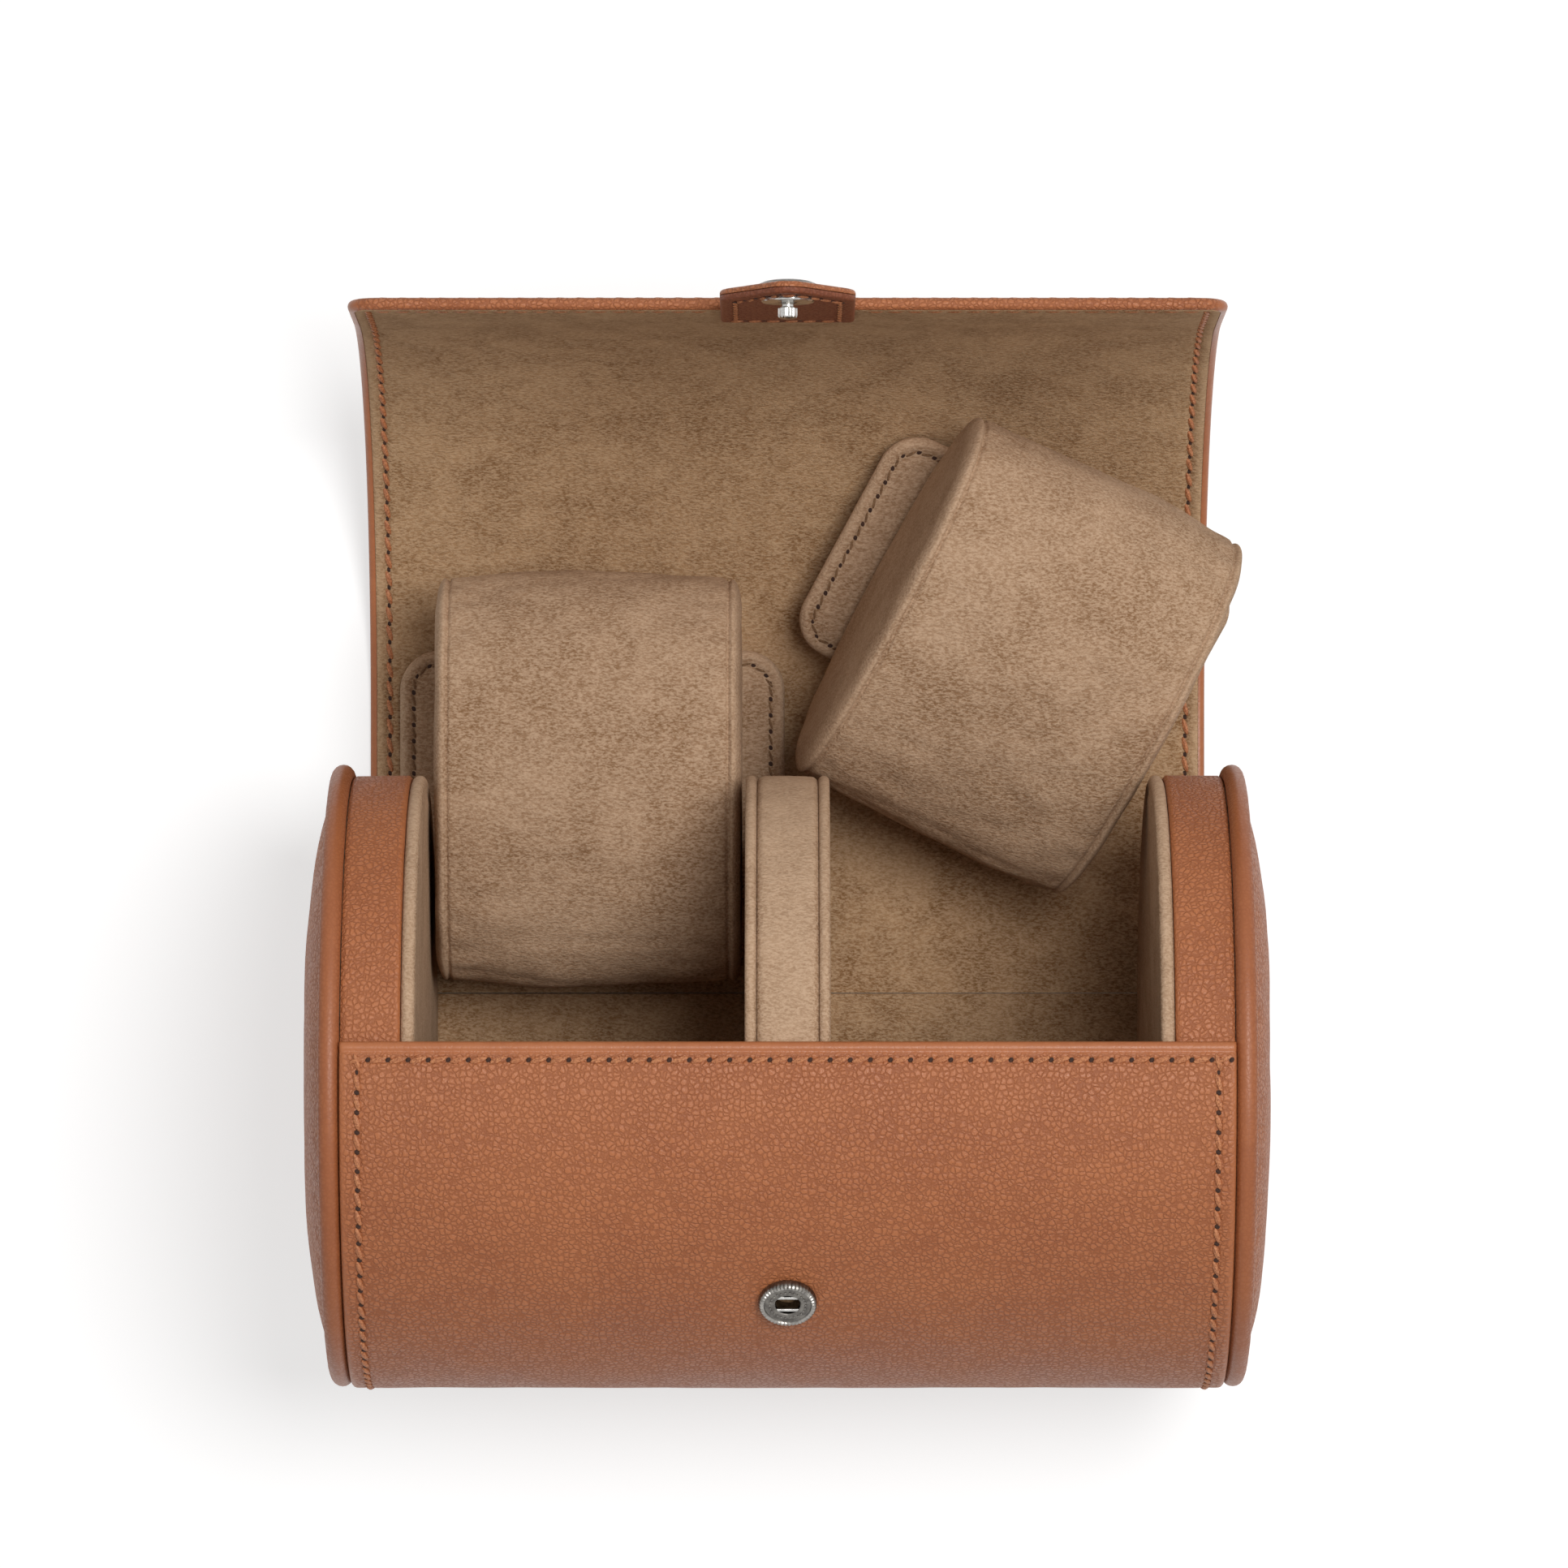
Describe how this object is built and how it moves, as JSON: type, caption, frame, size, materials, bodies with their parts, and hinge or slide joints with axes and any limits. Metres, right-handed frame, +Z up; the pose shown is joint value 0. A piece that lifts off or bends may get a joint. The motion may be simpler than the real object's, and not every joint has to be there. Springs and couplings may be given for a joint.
{
  "type": "watch roll",
  "caption": "Cylindrical leather watch roll with round padded ends, a suede divider, loose suede cushions and a curling flap that closes over the front with a snap tab",
  "frame": {"origin": "Middle of the flat under the body, on the plane that the roll stands on", "axes": "X runs along the roll, Y points from the front panel towards the flap's hinge and the open flap, Z points up"},
  "size_m": [0.1604, 0.1825, 0.1159],
  "materials": {
    "leather": "pebbled tan leather with a low sheen",
    "dark_leather": "smooth dark brown leather",
    "suede": "taupe suede with a short nap",
    "foam": "pale firm foam, hidden",
    "board": "pressed fibre board, hidden",
    "nickel": "dark nickel plating",
    "steel": "bright polished steel"
  },
  "bodies": {
    "case": {"wrap_leather": "leather", "wrap_board": "board", "wrap_lining": "suede", "end_face_left": "leather", "end_face_right": "leather", "end_core_left": "foam", "end_core_right": "foam", "piping_left": "leather", "piping_right": "leather", "side_band_left": "leather", "side_band_right": "leather", "end_facing_left": "suede", "end_facing_right": "suede", "divider_core": "foam", "divider_strip": "suede", "divider_face_left": "suede", "divider_face_right": "suede", "snap_socket": "nickel", "snap_spring": "steel", "socket_washer": "nickel"},
    "flap_1": {"flap_leather_1": "leather", "flap_lining_1": "suede"},
    "flap_2": {"flap_leather_2": "leather", "flap_lining_2": "suede"},
    "flap_3": {"flap_leather_3": "leather", "flap_lining_3": "suede"},
    "flap_4": {"flap_leather_4": "leather", "flap_lining_4": "suede"},
    "flap_5": {"flap_leather_5": "leather", "flap_lining_5": "suede"},
    "flap_6": {"flap_leather_6": "leather", "flap_lining_6": "suede"},
    "flap_7": {"flap_leather_7": "leather", "flap_lining_7": "suede"},
    "flap_8": {"flap_leather_8": "leather", "flap_lining_8": "suede"},
    "flap_9": {"flap_leather_9": "leather", "flap_lining_9": "suede", "tab_root_leather": "leather", "tab_root_backing": "dark_leather"},
    "tab": {"tab_leather": "leather", "tab_backing": "dark_leather", "snap_stud": "steel", "stud_cap": "nickel"},
    "cushion_left": {"cushion_left_cover": "suede", "cushion_left_side_a": "suede", "cushion_left_side_b": "suede", "cushion_left_base": "suede", "cushion_left_core": "foam"},
    "cushion_right": {"cushion_right_cover": "suede", "cushion_right_side_a": "suede", "cushion_right_side_b": "suede", "cushion_right_base": "suede", "cushion_right_core": "foam"}
  },
  "joints": [
    {"name": "flap_fold_1", "type": "hinge", "parent": "case", "child": "flap_1", "pos_m": [0, 0.01329, 0.0022], "axis": [1, 0, 0], "range_deg": [0, 25.87]},
    {"name": "flap_fold_2", "type": "hinge", "parent": "flap_1", "child": "flap_2", "pos_m": [0, 0.02886, 0.002], "axis": [1, 0, 0], "range_deg": [0, 15.23]},
    {"name": "flap_fold_3", "type": "hinge", "parent": "flap_2", "child": "flap_3", "pos_m": [0, 0.04443, 0.002], "axis": [1, 0, 0], "range_deg": [0, 17.37]},
    {"name": "flap_fold_4", "type": "hinge", "parent": "flap_3", "child": "flap_4", "pos_m": [0, 0.06, 0.002], "axis": [1, 0, 0], "range_deg": [0, 11.86]},
    {"name": "flap_fold_5", "type": "hinge", "parent": "flap_4", "child": "flap_5", "pos_m": [0, 0.08382, 0.00652], "axis": [1, 0, 0], "range_deg": [0, 5.16]},
    {"name": "flap_fold_6", "type": "hinge", "parent": "flap_5", "child": "flap_6", "pos_m": [0, 0.10433, 0.01946], "axis": [1, 0, 0], "range_deg": [0, 5.67]},
    {"name": "flap_fold_7", "type": "hinge", "parent": "flap_6", "child": "flap_7", "pos_m": [0, 0.11867, 0.03902], "axis": [1, 0, 0], "range_deg": [0, 3.25]},
    {"name": "flap_fold_8", "type": "hinge", "parent": "flap_7", "child": "flap_8", "pos_m": [0, 0.12484, 0.06247], "axis": [1, 0, 0], "range_deg": [0, 9.1]},
    {"name": "flap_fold_9", "type": "hinge", "parent": "flap_8", "child": "flap_9", "pos_m": [0, 0.12568, 0.07444], "axis": [1, 0, 0], "range_deg": [0, 11.62]},
    {"name": "tab_fold", "type": "hinge", "parent": "flap_9", "child": "tab", "pos_m": [0, 0.12615, 0.09545], "axis": [1, 0, 0], "range_deg": [0, 31.49], "deforming": ["snap_spring"]},
    {"name": "left_cushion_slide", "type": "slide", "parent": "flap_1", "child": "cushion_left", "axis": [0, -0.7675, 0.641], "range_m": [0, 0.03731], "deforming": ["cushion_left_base"]},
    {"name": "right_cushion_turn", "type": "hinge", "parent": "flap_3", "child": "cushion_right", "pos_m": [0.05896, 0.05454, 0.03022], "axis": [0, -0.342, 0.9397], "range_deg": [0, 27.01], "deforming": ["cushion_right_cover", "cushion_right_side_a", "cushion_right_side_b", "cushion_right_base"]}
  ],
  "couplings": [
    {"joint": "flap_fold_2", "follows": "flap_fold_1", "ratio": 0.58876},
    {"joint": "flap_fold_3", "follows": "flap_fold_1", "ratio": 0.67133},
    {"joint": "flap_fold_4", "follows": "flap_fold_1", "ratio": 0.45837},
    {"joint": "flap_fold_5", "follows": "flap_fold_1", "ratio": 0.19919},
    {"joint": "flap_fold_6", "follows": "flap_fold_1", "ratio": 0.21897},
    {"joint": "flap_fold_7", "follows": "flap_fold_1", "ratio": 0.12551},
    {"joint": "flap_fold_8", "follows": "flap_fold_1", "ratio": 0.35174},
    {"joint": "flap_fold_9", "follows": "flap_fold_1", "ratio": 0.4491},
    {"joint": "tab_fold", "follows": "flap_fold_1", "ratio": 1.2173},
    {"joint": "left_cushion_slide", "follows": "flap_fold_1", "m_per_rad": 0.082617},
    {"joint": "right_cushion_turn", "follows": "flap_fold_1", "ratio": 1.0437}
  ]
}
